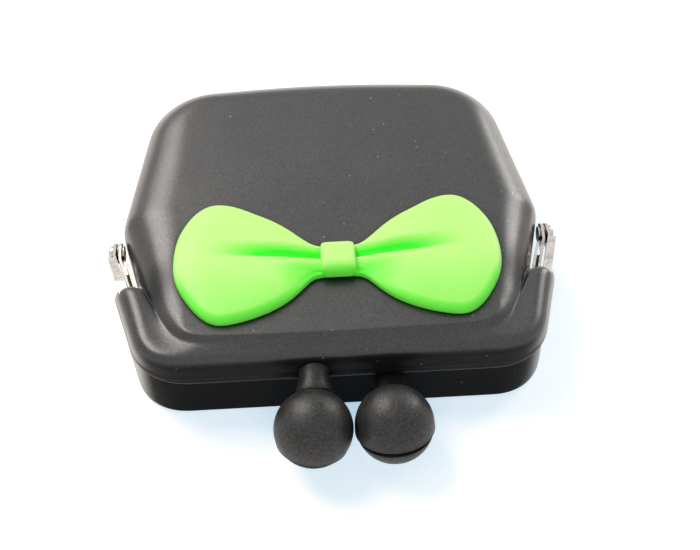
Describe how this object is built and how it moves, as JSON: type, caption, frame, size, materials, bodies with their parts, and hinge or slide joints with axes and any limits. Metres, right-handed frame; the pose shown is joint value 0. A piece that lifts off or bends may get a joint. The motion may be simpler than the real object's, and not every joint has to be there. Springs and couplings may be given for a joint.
{
  "type": "ball-clasp coin purse",
  "caption": "Palm-size silicone coin purse with a riveted steel frame hidden in its rims, a ball clasp at the mouth and a moulded bow on the front panel.",
  "frame": {"origin": "on the resting face under the middle of the whole part, the purse lying on its back panel", "axes": "+Z from the back panel to the front panel, -Y towards the mouth and its clasp, X along the hinge"},
  "size_m": [0.1058, 0.1104, 0.0256],
  "materials": {
    "black_silicone": "matte",
    "green_silicone": "satin",
    "nickel_steel": "polished"
  },
  "bodies": {
    "pouch": {"back_shell": "black_silicone", "front_pocket_shell": "black_silicone", "front_flex_web": "black_silicone", "back_frame": "nickel_steel", "left_rivet": "nickel_steel", "right_rivet": "nickel_steel", "left_washer": "nickel_steel", "right_washer": "nickel_steel"},
    "front_half": {"front_flap_shell": "black_silicone", "front_frame": "nickel_steel", "bow_wings": "green_silicone", "bow_knot": "green_silicone"},
    "front_clasp": {"front_ball": "black_silicone", "front_clasp_post": "nickel_steel"},
    "back_clasp": {"back_ball": "black_silicone", "back_clasp_post": "nickel_steel"}
  },
  "joints": [
    {"name": "frame_hinge", "type": "hinge", "parent": "pouch", "child": "front_half", "pos_m": [0, 0.00343, 0.0125], "axis": [-1, 0, 0], "range_deg": [0, 50], "stiffness_Nm_per_rad": 0.03, "deforming": ["front_flex_web"]},
    {"name": "front_ball_lean", "type": "hinge", "parent": "front_half", "child": "front_clasp", "pos_m": [-0.0071, -0.03177, 0.0149], "axis": [0, 0, -1], "range_deg": [0, 6], "stiffness_Nm_per_rad": 0.05},
    {"name": "back_ball_lean", "type": "hinge", "parent": "pouch", "child": "back_clasp", "pos_m": [0.0102, -0.03067, 0.0101], "axis": [0, 0, 1], "range_deg": [0, 6], "stiffness_Nm_per_rad": 0.05}
  ]
}
